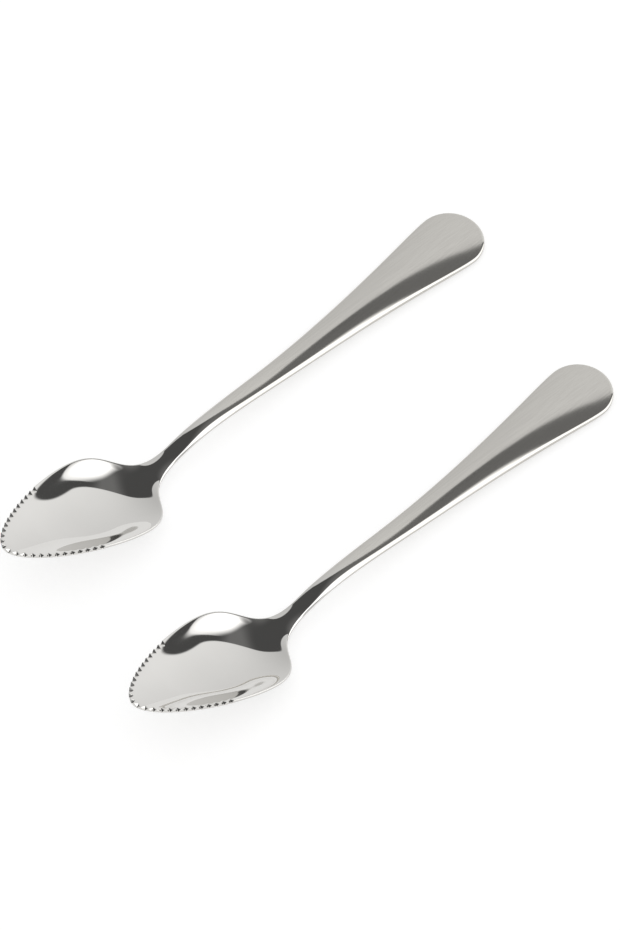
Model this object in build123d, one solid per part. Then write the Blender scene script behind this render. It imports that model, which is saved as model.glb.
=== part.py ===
from build123d import *

import math
import os

import numpy as np

# A pair of grapefruit spoons, each stamped, dished and polished from one blank of stainless steel.
# Millimetres, +Z up, both spoons lying on the table with their bowls up and their tips towards -X.
# The origin is on the table, under the middle of the pair. Distances along a spoon run from its tip.

# Plan of a spoon
overall_length = 165.0
bowl_width = 29.2
bowl_widest = 35.0  # from the tip
tip_bluntness = 6.8  # how squarely the tip leaves the axis
side_fullness = 13.0  # how far the bowl's side runs straight ahead of its widest place
shoulder_fullness = 15.0
heel_sweep = 17.5  # how gently the shoulder runs into the neck
neck_width = 4.7
neck_place = 59.0  # the narrowest place, from the tip
waist_run = 62.0  # how long the handle stays slim behind the neck
handle_width = 17.8
handle_swell = 8.0
end_length = 8.5  # the rounded end, behind the handle's widest place

# Heights of the upper edge above the table, from the tip to the end of the handle
tip_height = 19.8
widest_height = 7.6
back_height = 5.3
back_place = 42.0
heel_height = 3.5
heel_place = 51.5
rise_height = 5.45
rise_place = 62.0
hump_height = 6.15
hump_place = 73.0
fall_height = 4.3
fall_place = 95.0
grip_height = 2.95
grip_place = 120.0
end_height = 1.45

# Depth of the dish below the edge, from the tip to the heel
tip_dish = 1.2
tip_dish_place = 6.0
front_dish = 2.6
front_dish_place = 13.0
fore_dish = 4.0
fore_dish_place = 22.0
bowl_dish = 4.25
bowl_dish_place = 31.0
back_dish = 3.45
heel_dish = 0.1
heel_dish_place = 50.0

# Rise of the crown above the edge, from the neck to the end of the handle
neck_crown = 0.2
slim_crown = 0.5
slim_place = 67.0
waist_crown = 0.5
waist_place = 80.0
flare_crown = 0.87
flare_place = 110.0
swell_crown = 1.1
swell_place = 140.0
end_crown = 0.3

# The faces across: 0 gives a plain parabola, a turn steepens it towards the edge, a lip levels it at the rim
bowl_turn = 0.4
bowl_lip = 0.39
handle_turn = 0.12

# Thickness of the steel
edge_thickness = 1.2
bowl_wall = 1.25
back_thickness = 1.9
heel_thickness = 2.4
neck_thickness = 3.0
waist_thickness = 3.3
flare_thickness = 2.6
end_thickness = 1.8

# Teeth cut into the rim round the tip
teeth_per_side = 13
tooth_pitch = 2.1
notch_width = 1.7
notch_depth = 0.95
notch_lean = 0.3  # how much a notch rises for each unit that it runs in from the rim

# Place of the second spoon beside the first
spoon_spacing = 56.6
spoon_stagger = 10.1

# Fineness of the dished faces
stations_along = 111
stations_across = 13
curve_samples = 400
face_tolerance = 0.001
face_margin = 1.12  # the faces reach past the outline, which trims them
end_margin = 0.6
tip_opening = 0.2  # the share of the tip's curve that the dish runs straight past


def bezier(points, t):
    """Points at parameters t on the cubic curve with these four control points."""
    t = np.asarray(t)[:, None]
    a, b, c, d = np.array(points, float)
    return (1 - t) ** 3 * a + 3 * t * (1 - t) ** 2 * b + 3 * t**2 * (1 - t) * c + t**3 * d


def smooth_line(*knots):
    """A natural cubic spline through (place, value) pairs, straight past its ends."""
    x, v = np.array(knots, float).T
    gaps = np.diff(x)
    rises = np.diff(v) / gaps
    bend = np.zeros(len(x))
    system = np.diag(2 * (gaps[:-1] + gaps[1:])) + np.diag(gaps[1:-1], 1) + np.diag(gaps[1:-1], -1)
    bend[1:-1] = np.linalg.solve(system, 6 * np.diff(rises))
    first_slope = rises[0] - gaps[0] * bend[1] / 6
    last_slope = rises[-1] + gaps[-1] * bend[-2] / 6

    def value(place):
        i = int(np.clip(np.searchsorted(x, place) - 1, 0, len(gaps) - 1))
        if place < x[0]:
            return v[0] + (place - x[0]) * first_slope
        if place > x[-1]:
            return v[-1] + (place - x[-1]) * last_slope
        t = place - x[i]
        slope = rises[i] - gaps[i] * (2 * bend[i] + bend[i + 1]) / 6
        return v[i] + t * (slope + t * (bend[i] / 2 + t * (bend[i + 1] - bend[i]) / (6 * gaps[i])))

    return value


# The outline of one side, as four curves from the tip to the middle of the handle's end
half_bowl = bowl_width / 2
half_neck = neck_width / 2
half_handle = handle_width / 2
handle_widest = overall_length - end_length
quarter_round = 4 / 3 * (math.sqrt(2) - 1)
side_curves = [
    [
        (0, 0),
        (0, tip_bluntness),
        (bowl_widest - side_fullness, half_bowl),
        (bowl_widest, half_bowl),
    ],
    [
        (bowl_widest, half_bowl),
        (bowl_widest + shoulder_fullness, half_bowl),
        (neck_place - heel_sweep, half_neck),
        (neck_place, half_neck),
    ],
    [
        (neck_place, half_neck),
        (neck_place + waist_run, half_neck),
        (handle_widest - handle_swell, half_handle),
        (handle_widest, half_handle),
    ],
    [
        (handle_widest, half_handle),
        (handle_widest + quarter_round * end_length, half_handle),
        (overall_length, quarter_round * half_handle),
        (overall_length, 0),
    ],
]
outline = np.vstack([bezier(curve, np.linspace(0, 1, curve_samples)) for curve in side_curves])

# The dish and the crown span the outline, but run on straight past the tip's curve
# and past the handle's widest place
open_tip, past_open_tip = bezier(side_curves[0], [tip_opening, tip_opening + 1 / curve_samples])
tip_spread = (past_open_tip[1] - open_tip[1]) / (past_open_tip[0] - open_tip[0])


def half_width(place):
    """Half the width that the dish or the crown spans at a place."""
    if place < open_tip[0]:
        return open_tip[1] + (place - open_tip[0]) * tip_spread
    return np.interp(min(place, handle_widest), outline[:, 0], outline[:, 1])


edge_line = smooth_line(
    (0, tip_height),
    (bowl_widest, widest_height),
    (back_place, back_height),
    (heel_place, heel_height),
    (rise_place, rise_height),
    (hump_place, hump_height),
    (fall_place, fall_height),
    (grip_place, grip_height),
    (overall_length, end_height),
)
dish_line = smooth_line(
    (0, 0),
    (tip_dish_place, tip_dish),
    (front_dish_place, front_dish),
    (fore_dish_place, fore_dish),
    (bowl_dish_place, bowl_dish),
    (back_place, back_dish),
    (heel_dish_place, heel_dish),
    (neck_place, -neck_crown),
    (slim_place, -slim_crown),
    (waist_place, -waist_crown),
    (flare_place, -flare_crown),
    (swell_place, -swell_crown),
    (overall_length, -end_crown),
)
thickness_line = smooth_line(
    (0, edge_thickness),
    (bowl_dish_place, bowl_wall),
    (back_place, back_thickness),
    (heel_place, heel_thickness),
    (neck_place, neck_thickness),
    (waist_place, waist_thickness),
    (flare_place, flare_thickness),
    (overall_length, end_thickness),
)


def across(place, share):
    """How much of the dish is left at a share of the half-width, 1 on the axis and 0 at the edge."""
    run = np.clip((place - back_place) / (waist_place - back_place), 0, 1)
    on_handle = run**2 * (3 - 2 * run)
    turn = bowl_turn + (handle_turn - bowl_turn) * on_handle
    lip = bowl_lip * (1 - on_handle)
    return 1 - (1 - turn + lip) * share**2 - turn * share**4 + lip * share**6


def upper_height(place, share):
    """Height of the upper face."""
    return edge_line(place) - dish_line(place) * across(place, share)


def lower_height(place, share):
    """Height of the lower face."""
    middle_thickness = dish_line(place) + thickness_line(place) - edge_thickness
    return edge_line(place) - edge_thickness - middle_thickness * across(place, share)


def skin(height):
    """A face over the whole spoon and a little past its outline, from a height rule."""
    places = np.linspace(-end_margin, overall_length + end_margin, stations_along)
    shares = np.linspace(-face_margin, face_margin, stations_across)
    grid = [[Vector(p, s * half_width(p), height(p, s)) for s in shares] for p in places]
    return Face.make_surface_from_array_of_points(grid, tol=face_tolerance, max_deg=3)


rim_travel = np.concatenate([[0], np.cumsum(np.linalg.norm(np.diff(outline, axis=0), axis=1))])


def rim_point(distance):
    """The outline's point at a distance round the rim from the tip."""
    return np.array([np.interp(distance, rim_travel, outline[:, i]) for i in (0, 1)])


def notch(distance, side):
    """A V-shaped cutter across the rim, at a distance round it from the tip, on one side."""
    x, y = rim_point(distance)
    along_x, along_y = rim_point(distance + notch_width / 2) - rim_point(distance - notch_width / 2)
    rim = Plane(
        origin=(x, side * y, edge_line(x)),
        x_dir=(-side * along_x, -along_y, 0),
        z_dir=(-along_y, side * along_x, -notch_lean * math.hypot(along_x, along_y)),
    )
    wedge = Polygon(
        (0, -notch_depth),
        (notch_width, notch_depth),
        (-notch_width, notch_depth),
        align=None,
    )
    return extrude(rim * wedge, amount=2 * notch_width, both=True)


def spoon():
    """One spoon, with its tip at the origin and its lowest point on the table."""
    sides = [Bezier(*curve) for curve in side_curves]
    plan = make_face(sides + [mirror(side, Plane.XZ) for side in sides])
    tall = 2 * (tip_height + bowl_dish)
    blank = extrude(Pos(0, 0, -tall) * plan, amount=2 * tall)
    below_upper = extrude(skin(upper_height), amount=2 * tall, dir=(0, 0, -1))
    above_lower = extrude(skin(lower_height), amount=2 * tall, dir=(0, 0, 1))
    body = blank & below_upper & above_lower
    distances = [(i + 0.5) * tooth_pitch for i in range(teeth_per_side)]
    body = body - [notch(distance, side) for distance in distances for side in (1, -1)]
    return Pos(0, 0, -body.bounding_box().min.Z) * body


os.makedirs("parts", exist_ok=True)
one_spoon = spoon()
pair_length = overall_length + spoon_stagger
front_spoon = Pos(-pair_length / 2, -spoon_spacing / 2, 0) * one_spoon
rear_spoon = Pos(-pair_length / 2 + spoon_stagger, spoon_spacing / 2, 0) * one_spoon
export_step(front_spoon, "parts/front_spoon.step")
export_step(rear_spoon, "parts/rear_spoon.step")
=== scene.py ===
import math

import bpy
import numpy as np
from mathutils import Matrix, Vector


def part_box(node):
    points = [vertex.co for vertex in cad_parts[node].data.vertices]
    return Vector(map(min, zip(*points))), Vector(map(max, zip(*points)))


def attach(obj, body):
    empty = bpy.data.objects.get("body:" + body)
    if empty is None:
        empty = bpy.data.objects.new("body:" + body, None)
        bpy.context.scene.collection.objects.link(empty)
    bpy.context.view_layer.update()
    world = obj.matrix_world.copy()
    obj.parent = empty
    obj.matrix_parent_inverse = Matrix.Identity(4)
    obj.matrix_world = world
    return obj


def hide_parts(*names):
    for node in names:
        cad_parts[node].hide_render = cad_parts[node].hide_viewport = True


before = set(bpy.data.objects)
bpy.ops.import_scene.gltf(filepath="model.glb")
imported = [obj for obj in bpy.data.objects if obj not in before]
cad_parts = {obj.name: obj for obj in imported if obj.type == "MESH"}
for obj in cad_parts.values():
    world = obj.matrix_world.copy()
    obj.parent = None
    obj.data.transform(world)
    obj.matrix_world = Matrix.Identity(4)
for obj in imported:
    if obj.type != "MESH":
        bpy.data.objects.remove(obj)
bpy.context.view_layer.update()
bpy.context.scene.view_settings.view_transform = "Standard"

# The two spoons. Each is one piece of stainless steel: a flat blank is stamped out, rolled thinner towards
# the edge, dished and bent in a press, has teeth cut round its tip, and is polished. They lie loose on the
# table. Sizes are in millimetres, along a spoon from its tip, across it from its axis, and up.
mm = 0.001
overall_length = 165.0
bowl_width = 29.2
bowl_widest = 35.0
tip_bluntness = 6.8
side_fullness = 13.0
shoulder_fullness = 15.0
back_place = 42.0
heel_sweep = 17.5
neck_width = 4.7
neck_place = 59.0
waist_place = 80.0
waist_run = 62.0
handle_width = 17.8
handle_swell = 8.0
end_length = 8.5
handle_widest = overall_length - end_length


def bezier(points, t):
    """Points at parameters t on the cubic curve with these four control points."""
    t = np.asarray(t)[:, None]
    a, b, c, d = np.array(points, float)
    return (1 - t) ** 3 * a + 3 * t * (1 - t) ** 2 * b + 3 * t**2 * (1 - t) * c + t**3 * d


def smooth_line(*knots):
    """A natural cubic spline through (place, value) pairs, straight past its ends."""
    x, v = np.array(knots, float).T
    gaps = np.diff(x)
    rises = np.diff(v) / gaps
    bend = np.zeros(len(x))
    system = np.diag(2 * (gaps[:-1] + gaps[1:])) + np.diag(gaps[1:-1], 1) + np.diag(gaps[1:-1], -1)
    bend[1:-1] = np.linalg.solve(system, 6 * np.diff(rises))
    first_slope = rises[0] - gaps[0] * bend[1] / 6
    last_slope = rises[-1] + gaps[-1] * bend[-2] / 6

    def value(place):
        place = np.asarray(place, float)
        i = np.clip(np.searchsorted(x, place) - 1, 0, len(gaps) - 1)
        t = place - x[i]
        slope = rises[i] - gaps[i] * (2 * bend[i] + bend[i + 1]) / 6
        inside = v[i] + t * (slope + t * (bend[i] / 2 + t * (bend[i + 1] - bend[i]) / (6 * gaps[i])))
        before = v[0] + (place - x[0]) * first_slope
        after = v[-1] + (place - x[-1]) * last_slope
        return np.where(place < x[0], before, np.where(place > x[-1], after, inside))

    return value


# Height of the upper edge above the table, depth of the dish below that edge, which is negative where the
# handle has a crown instead, and thickness of the steel on the axis
edge_line = smooth_line(
    (0, 19.8), (bowl_widest, 7.6), (back_place, 5.3), (51.5, 3.5), (62, 5.45),
    (73, 6.15), (95, 4.3), (120, 2.95), (overall_length, 1.45),
)
bowl_dish = [(0, 0), (6, 1.2), (13, 2.6), (22, 4.0), (31, 4.25), (back_place, 3.45), (50, 0.1)]
handle_crown = [
    (neck_place, -0.2), (67, -0.5), (waist_place, -0.5), (110, -0.87), (140, -1.1), (overall_length, -0.3),
]
dish_line = smooth_line(*bowl_dish, *handle_crown)
edge_thickness = 1.2
thickness_line = smooth_line(
    (0, edge_thickness), (31, 1.25), (back_place, 1.9), (51.5, 2.4),
    (neck_place, 3.0), (waist_place, 3.3), (110, 2.6), (overall_length, 1.8),
)
bowl_turn = 0.4  # a turn steepens a face towards its edge
handle_turn = 0.12
bowl_lip = 0.39  # a lip levels it at the rim

# Half of the blank's outline, from the tip to the middle of the handle's end
half_bowl = bowl_width / 2
half_neck = neck_width / 2
half_handle = handle_width / 2
quarter_round = 4 / 3 * (math.sqrt(2) - 1)
tip_curve = [
    (0, 0),
    (0, tip_bluntness),
    (bowl_widest - side_fullness, half_bowl),
    (bowl_widest, half_bowl),
]
heel_curve = [
    (bowl_widest, half_bowl),
    (bowl_widest + shoulder_fullness, half_bowl),
    (neck_place - heel_sweep, half_neck),
    (neck_place, half_neck),
]
handle_curve = [
    (neck_place, half_neck),
    (neck_place + waist_run, half_neck),
    (handle_widest - handle_swell, half_handle),
    (handle_widest, half_handle),
]
end_curve = [
    (handle_widest, half_handle),
    (handle_widest + quarter_round * end_length, half_handle),
    (overall_length, quarter_round * half_handle),
    (overall_length, 0),
]
curve_share = np.linspace(0, 1, 2001)
later_curves = [bezier(curve, curve_share[1:]) for curve in (heel_curve, handle_curve, end_curve)]
outline = np.vstack([bezier(tip_curve, curve_share), *later_curves])
rim_travel = np.concatenate([[0], np.cumsum(np.linalg.norm(np.diff(outline, axis=0), axis=1))])
rim_tangent = np.gradient(outline, rim_travel, axis=0)
rim_tangent /= np.linalg.norm(rim_tangent, axis=1)[:, None]

# The dish runs on straight past this share of the tip's curve
tip_opening = 0.2
share_step = 0.0025
open_tip, past_open_tip = bezier(tip_curve, [tip_opening, tip_opening + share_step])
tip_spread = (past_open_tip[1] - open_tip[1]) / (past_open_tip[0] - open_tip[0])


def along_rim(table, distance):
    """A table of the outline's points or tangents, read at distances round the rim from the tip."""
    return np.stack([np.interp(distance, rim_travel, table[:, i]) for i in (0, 1)], axis=-1)


def half_width(place):
    """Half the width that the dish or the crown spans at a place."""
    straight = open_tip[1] + (place - open_tip[0]) * tip_spread
    curved = np.interp(np.minimum(place, handle_widest), *outline.T)
    return np.where(place < open_tip[0], straight, curved)


def across(x, y):
    """How much of the dish is left at a point, 1 on the axis and 0 at the edge."""
    share = y / half_width(x)
    run = np.clip((x - back_place) / (waist_place - back_place), 0, 1)
    on_handle = run**2 * (3 - 2 * run)
    turn = bowl_turn + (handle_turn - bowl_turn) * on_handle
    lip = bowl_lip * (1 - on_handle)
    return 1 - (1 - turn + lip) * share**2 - turn * share**4 + lip * share**6


def lower_height(x, y):
    """Height of the lower face."""
    middle = dish_line(x) + thickness_line(x) - edge_thickness
    return edge_line(x) - edge_thickness - middle * across(x, y)


# The teeth are what stands between V-shaped grooves across the rim, which rise inwards and run out on the
# bowl's slope. Their bottoms and shoulders are slightly rounded by the polishing.
teeth_per_side = 13
tooth_pitch = 2.1
notch_width = 1.7
notch_depth = 0.95
notch_rise = 0.3
groove_slope = 2 * notch_depth / notch_width
groove_bottom_round = 0.07
groove_shoulder_round = 0.08
groove_travel = (np.arange(teeth_per_side) + 0.5) * tooth_pitch
groove_points = along_rim(outline, groove_travel)
groove_tangents = along_rim(rim_tangent, groove_travel)


def upper_height(x, y):
    """Height of the upper face, with the grooves of both sides cut in."""
    z = edge_line(x) - dish_line(x) * across(x, y)
    for side in (1, -1):
        for (px, py), (tx, ty) in zip(groove_points, groove_tangents):
            sideways = (x - px) * tx + (y - side * py) * side * ty
            inwards = (x - px) * ty - (y - side * py) * side * tx
            spread = np.sqrt(sideways**2 + groove_bottom_round**2) - groove_bottom_round
            floor = edge_line(px) - notch_depth + notch_rise * inwards + spread * groove_slope
            lean = np.clip(0.5 + 0.5 * (z - floor) / groove_shoulder_round, 0, 1)
            cut = z + (floor - z) * lean - groove_shoulder_round * lean * (1 - lean)
            z = np.where(np.abs(inwards) < 2 * notch_width, cut, z)
    return z


# Places round the rim: fine along the teeth, with some on each groove's bottom and shoulders, coarser after
land = (tooth_pitch - notch_width) / 2
half_tooth = np.concatenate([[0, land / 2], np.linspace(land, tooth_pitch / 2, 6)[:-1]])
one_tooth = np.concatenate([half_tooth, [tooth_pitch / 2], tooth_pitch - half_tooth[:0:-1]])
toothed = (one_tooth[None, :] + np.arange(teeth_per_side)[:, None] * tooth_pitch).ravel()
teeth_end = teeth_per_side * tooth_pitch
neck_travel, end_travel = np.interp([neck_place, handle_widest], outline[:, 0], rim_travel)
places = np.concatenate([
    toothed,
    np.linspace(teeth_end, neck_travel, 130)[:-1],
    np.linspace(neck_travel, end_travel, 170)[:-1],
    np.linspace(end_travel, rim_travel[-1], 56),
])
n_places = len(places) - 1
rim = along_rim(outline, places)
inward = along_rim(rim_tangent, places)[:, ::-1] * (1, -1)
rim[0] = (0, 0)
rim[-1] = (overall_length, 0)
inward[0] = (1, 0)
inward[-1] = (-1, 0)

# Both sides of the rim, out along one and back along the other
around = np.concatenate([np.arange(n_places + 1), np.arange(n_places - 1, 0, -1)])
side_of = np.concatenate([np.ones(n_places + 1), -np.ones(n_places - 1)])
both_sides = np.stack([np.ones_like(side_of), side_of], 1)
rim = rim[around] * both_sides
inward = inward[around] * both_sides
n_around = len(around)

# The edge: how wide a band of the faces it takes in, and how far its upper corner is rounded in and down.
# The polishing has left it crisp at the teeth and broad on the slim part of the handle.
rim_x = rim[:, 0]
margin = np.interp(rim_x, [0, 40, 54, 66, 110, 165], [2.2, 2.2, 1.5, 1.5, 1.8, 1.8])
round_most = np.interp(rim_x, [0, 20, 26, 165], [0.15, 0.15, 0.4, 0.4])
round_in = np.interp(rim_x, [0, 20, 26, 56, 64, 75, 110, 165], [0.15, 0.15, 0.4, 0.4, 1.0, 1.2, 0.8, 0.6])
wall = upper_height(*rim.T) - lower_height(*rim.T)
round_low = np.minimum(round_most, 0.3 * wall)
round_top = np.minimum(round_most, 0.45 * (wall - round_low))


def ring(inset, height, lift=0):
    """Points all round the spoon, inset from the rim, on a face and lifted off it."""
    p = rim + inward * inset[:, None]
    return np.column_stack([p, height(*p.T) + lift])


# Rings from inside on the upper face, over the upper corner, round the lower one and in under the spoon
corner = np.linspace(0, math.pi / 2, 9)
rings = []
for step in np.linspace(1, 0, 15)[:-1]:
    rings.append(ring(round_in + (margin - round_in) * step, upper_height))
for turn in corner:
    rings.append(ring(round_in * (1 - np.sin(turn)), upper_height, -round_top * (1 - np.cos(turn))))
for turn in corner[::-1]:
    rings.append(ring(round_low * (1 - np.sin(turn)), lower_height, round_low * (1 - np.cos(turn))))
for step in np.linspace(0, 1, 7)[1:]:
    rings.append(ring(round_low + (margin - round_low) * step, lower_height))
points = [np.concatenate(rings)]
quads = []
for first in np.arange(len(rings) - 1) * n_around:
    a = first + np.arange(n_around)
    b = first + (np.arange(n_around) + 1) % n_around
    quads.append(np.stack([a, b, b + n_around, a + n_around], 1))

# The fields inside the innermost rings, in rows across the spoon, above and below
n_across = 56
shares = np.linspace(0, 1, n_across + 1)[1:-1, None]
k = np.arange(1, n_places)
triangles = []
for inner, height, turned in ((0, upper_height, 1), (len(rings) - 1, lower_height, -1)):
    start = sum(len(p) for p in points)
    first = inner * n_around
    far = rings[inner][k, None, :2]
    near = rings[inner][n_around - k, None, :2]
    row = far + (near - far) * shares
    points.append(np.dstack([row, height(row[..., 0], row[..., 1])]).reshape(-1, 3))
    index = np.empty((n_places - 1, n_across + 1), int)
    index[:, 0] = first + k
    index[:, -1] = first + n_around - k
    index[:, 1:-1] = start + np.arange((n_places - 1) * (n_across - 1)).reshape(n_places - 1, -1)
    cells = np.stack([index[:-1, :-1], index[:-1, 1:], index[1:, 1:], index[1:, :-1]], -1)
    quads.append(cells.reshape(-1, 4)[:, ::turned])
    tip_fan = np.stack([np.full(n_across, first), index[0, 1:], index[0, :-1]], 1)
    end_fan = np.stack([np.full(n_across, first + n_places), index[-1, :-1], index[-1, 1:]], 1)
    triangles.append(np.concatenate([tip_fan, end_fan])[:, ::turned])
points = np.concatenate(points)
points[:, 2] -= points[:, 2].min()
faces = np.concatenate(quads).tolist() + np.concatenate(triangles).tolist()

spoon_mesh = bpy.data.meshes.new("spoon")
spoon_mesh.from_pydata((points * mm).tolist(), [], faces)
spoon_mesh.validate()
spoon_mesh.shade_smooth()


class Value:
    """A socket of a shader, whose arithmetic adds Math nodes."""

    def __init__(self, tree, socket):
        self.tree = tree
        self.socket = socket

    def node(self, kind, settings=None, out=0, **sockets):
        """The output of a new node: its type, its settings, then the values or links of its sockets."""
        made = self.tree.nodes.new(kind)
        for name, value in (settings or {}).items():
            setattr(made, name, value)
        for name, value in sockets.items():
            numbered = name[0] == "i" and name[1:].isdigit()
            target = made.inputs[int(name[1:]) if numbered else name.replace("_", " ")]
            if isinstance(value, Value):
                self.tree.links.new(value.socket, target)
            else:
                target.default_value = value
        return Value(self.tree, made.outputs[out]) if made.outputs else None

    def math(self, operation, *others):
        """A Math node on this value and the others."""
        sockets = {f"i{i}": v for i, v in enumerate((self, *others))}
        return self.node("ShaderNodeMath", {"operation": operation}, **sockets)

    def swapped(self, operation, other):
        """A Math node with the other value first."""
        return self.node("ShaderNodeMath", {"operation": operation}, i0=other, i1=self)

    def __add__(self, other):
        return self.math("ADD", other)

    def __mul__(self, other):
        return self.math("MULTIPLY", other)

    def __sub__(self, other):
        return self.math("SUBTRACT", other)

    def __truediv__(self, other):
        return self.math("DIVIDE", other)

    def __rsub__(self, other):
        return self.swapped("SUBTRACT", other)

    def __rtruediv__(self, other):
        return self.swapped("DIVIDE", other)

    __radd__, __rmul__ = __add__, __mul__

    def fade(self, low, high):
        """0 below low and 1 above high, smooth between them."""
        settings = {"interpolation_type": "SMOOTHSTEP"}
        return self.node("ShaderNodeMapRange", settings, Value=self, From_Min=low, From_Max=high)

    def mix(self, a, b):
        """Colour a where this value is 0 and colour b where it is 1."""
        return self.node("ShaderNodeMix", {"data_type": "RGBA"}, out=2, Factor=self, A=a, B=b)


def new_shader(owner):
    """An empty node tree on a material or world, as a place to start a shader."""
    owner.use_nodes = True
    owner.node_tree.nodes.clear()
    return Value(owner.node_tree, None)


# Polished stainless steel: mirror bright in the bowl, and satin with very fine lines along the handle
mirror_roughness = 0.035
satin_roughness = 0.08  # over the mirror's
steel = bpy.data.materials.new("polished_steel")
start = new_shader(steel)
place = start.node("ShaderNodeTexCoord", out="Object")
along = start.node("ShaderNodeSeparateXYZ", Vector=place) / mm
on_handle = along.fade(60, 82)
line_place = start.node("ShaderNodeMapping", {"vector_type": "POINT"}, Vector=place, Scale=(12, 2600, 2600))
lines = start.node("ShaderNodeTexNoise", Vector=line_place, Scale=1.0, Detail=3.0, Roughness=0.6)
smudges = start.node("ShaderNodeTexNoise", Vector=place, Scale=90.0, Detail=2.0, Roughness=0.5)
satin_lines = satin_roughness + (lines - 0.5) * 0.04
roughness = mirror_roughness + on_handle * satin_lines + (smudges - 0.5) * 0.02
brushed = start.node("ShaderNodeBump", Strength=0.12, Distance=0.02 * mm, Height=lines * on_handle)
bright = smudges.mix((0.67, 0.66, 0.64, 1), (0.63, 0.62, 0.60, 1))
satin = lines.fade(0.3, 0.7).mix((0.59, 0.575, 0.543, 1), (0.56, 0.545, 0.515, 1))
metal = start.node(
    "ShaderNodeBsdfPrincipled",
    Base_Color=on_handle.mix(bright, satin), Metallic=1.0, Roughness=roughness, Normal=brushed,
)
start.node("ShaderNodeOutputMaterial", Surface=metal)
spoon_mesh.materials.append(steel)

for name in ("front_spoon", "rear_spoon"):
    low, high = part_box(name)
    made = bpy.data.objects.new(name + "_steel", spoon_mesh.copy())
    bpy.context.scene.collection.objects.link(made)
    made.location = (low.x, (low.y + high.y) / 2, 0)
    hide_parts(name)
    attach(made, name)

# The table: a plain white sweep of smooth board, which is not part of the object and takes the spoons'
# shadow. It glows a little to the camera and in the steel, as an evenly lit board does.
table_reach = 20.0
table_glow = 0.56
corners = [(-1, -1), (1, -1), (1, 1), (-1, 1)]
table_mesh = bpy.data.meshes.new("table")
table_mesh.from_pydata([(x * table_reach, y * table_reach, 0) for x, y in corners], [], [(0, 1, 2, 3)])
table = bpy.data.objects.new("table", table_mesh)
bpy.context.scene.collection.objects.link(table)
white_board = bpy.data.materials.new("white_board")
start = new_shader(white_board)
seen = start.node("ShaderNodeLightPath", out="Is Camera Ray")
seen = seen + start.node("ShaderNodeLightPath", out="Is Glossy Ray")
seen = seen + start.node("ShaderNodeLightPath", out="Is Transmission Ray")
matt = start.node("ShaderNodeBsdfDiffuse", Color=(0.65, 0.65, 0.65, 1))
glow = start.node("ShaderNodeEmission", Color=(1, 1, 1, 1), Strength=seen * table_glow)
board = start.node("ShaderNodeAddShader", i0=matt, i1=glow)
start.node("ShaderNodeOutputMaterial", Surface=board)
table_mesh.materials.append(white_board)

# The studio: a pale wall behind the table, a dark room over it, and a white soft box high on the right.
# The spoons mirror it, the table takes an even light from all round, and the camera sees plain white past
# the table. Its borders are set by how far a direction points to the right and to the back of the view.
view_turn = math.radians(44.38)
right = Vector((math.cos(view_turn), -math.sin(view_turn), 0))
away = Vector((math.sin(view_turn), math.cos(view_turn), 0))
even_light = 0.75
soft_box_light = 2.0
studio = bpy.data.worlds.new("studio")
bpy.context.scene.world = studio
start = new_shader(studio)
ray = start.node("ShaderNodeTexCoord", out="Generated")
dot = {"operation": "DOT_PRODUCT"}
to_right = start.node("ShaderNodeVectorMath", dot, out="Value", i0=ray, i1=right)
to_back = start.node("ShaderNodeVectorMath", dot, out="Value", i0=ray, i1=away)
pale_wall = to_back.fade(0.555, 0.575)
box_edge = (to_right - to_back.math("MAXIMUM", -0.2)).fade(0.13, 0.36)
box_top = (to_back - to_right * 0.25).fade(0.298, 0.312)
soft_box = box_edge * to_back.fade(-0.5, -0.4) * (1 - box_top)
dark_room = 0.09 + 0.12 * to_right.fade(-0.15, 0.25) * (1 - to_right.fade(0.45, 0.65))
dark_room = dark_room + 0.35 * (1 - to_back.fade(-0.9, -0.15))
wall_light = 0.9 + 0.3 * to_right
mirrored = dark_room + (wall_light - dark_room) * pale_wall
mirrored = mirrored + (soft_box_light - mirrored) * soft_box
glossy = start.node("ShaderNodeLightPath", out="Is Glossy Ray")
plain = start.node("ShaderNodeLightPath", out="Is Camera Ray")
plain = plain + start.node("ShaderNodeLightPath", out="Is Transmission Ray")
strength = plain + (1 - plain) * (glossy * mirrored + (1 - glossy) * even_light)
sky = start.node("ShaderNodeBackground", Color=(1, 1, 1, 1), Strength=strength)
start.node("ShaderNodeOutputWorld", Surface=sky)

# The camera: a long lens, high over the near side of the bowls, as the photograph was taken.
view_lift = math.radians(54)
view_height = 234.2 * mm
low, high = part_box("front_spoon")
front_tip = Vector((low.x, (low.y + high.y) / 2, 0))
aim = front_tip + right * 44.0 * mm + away * 87.8 * mm
camera_data = bpy.data.cameras.new("camera")
camera_data.lens = 1000
camera_data.sensor_width = 36
camera_data.clip_start = 0.1
camera_data.clip_end = 60
camera = bpy.data.objects.new("camera", camera_data)
bpy.context.scene.collection.objects.link(camera)
back = -away * math.cos(view_lift) + Vector((0, 0, math.sin(view_lift)))
camera.location = aim + back * (view_height * camera_data.lens / camera_data.sensor_width)
camera.rotation_mode = "QUATERNION"
camera.rotation_quaternion = (-back).to_track_quat("-Z", "Y")
bpy.context.scene.camera = camera
